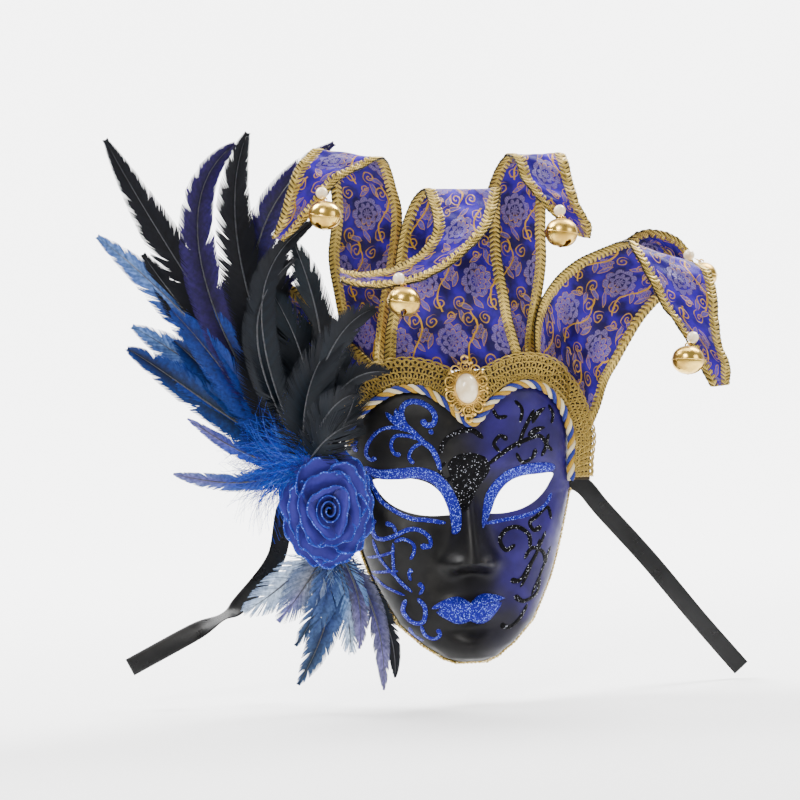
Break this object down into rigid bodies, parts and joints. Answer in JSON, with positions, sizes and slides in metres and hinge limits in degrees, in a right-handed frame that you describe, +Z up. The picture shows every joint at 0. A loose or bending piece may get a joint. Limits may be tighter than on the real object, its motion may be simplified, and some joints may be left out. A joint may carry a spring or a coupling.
{
  "type": "jester mask",
  "caption": "Full-face jester mask with six brocade horns, gold braid, jingle bells, pearl brooch, fabric rose, feathers and satin ribbons.",
  "frame": {"origin": "middle of the inside of the brow at eye level, where the mask sits on the wearer's face", "axes": "+X across the face to the wearer's left, +Y back towards the wearer's head, +Z up"},
  "size_m": [0.4977, 0.14, 0.4267],
  "materials": {
    "face_paint": "satin",
    "brocade": "satin",
    "gold_braid": "satin",
    "gold_lace": "satin",
    "rope": "satin",
    "gilt": "polished",
    "pearl": "gloss",
    "bell_brass": "polished",
    "dark_feather": "matte",
    "blue_feather": "matte",
    "rose_cloth": "matte",
    "satin": "satin"
  },
  "bodies": {
    "root": {"face_shell": "face_paint", "horn_left": "brocade", "horn_left_braid_a": "gold_braid", "horn_left_braid_b": "gold_braid", "horn_upper_left": "brocade", "horn_upper_left_braid_a": "gold_braid", "horn_upper_left_braid_b": "gold_braid", "horn_centre": "brocade", "horn_centre_braid_a": "gold_braid", "horn_centre_braid_b": "gold_braid", "horn_upper_right": "brocade", "horn_upper_right_braid_a": "gold_braid", "horn_upper_right_braid_b": "gold_braid", "horn_right": "brocade", "horn_right_braid_a": "gold_braid", "horn_right_braid_b": "gold_braid", "horn_far_right": "brocade", "horn_far_right_braid_a": "gold_braid", "horn_far_right_braid_b": "gold_braid", "crown_band": "gold_lace", "rope_trim": "rope", "rim_trim": "gold_braid", "brooch_filigree": "gilt", "brooch_pearl": "pearl", "bead_1": "pearl", "bell_1": "bell_brass", "bead_2": "pearl", "bell_2": "bell_brass", "bead_3": "pearl", "bell_3": "bell_brass", "bead_4": "pearl", "bell_4": "bell_brass", "bead_5": "pearl", "bell_5": "bell_brass", "feathers_upper": "dark_feather", "feathers_lower": "blue_feather", "rose": "rose_cloth", "ribbon_right": "satin", "ribbon_left": "satin"}
  },
  "joints": []
}
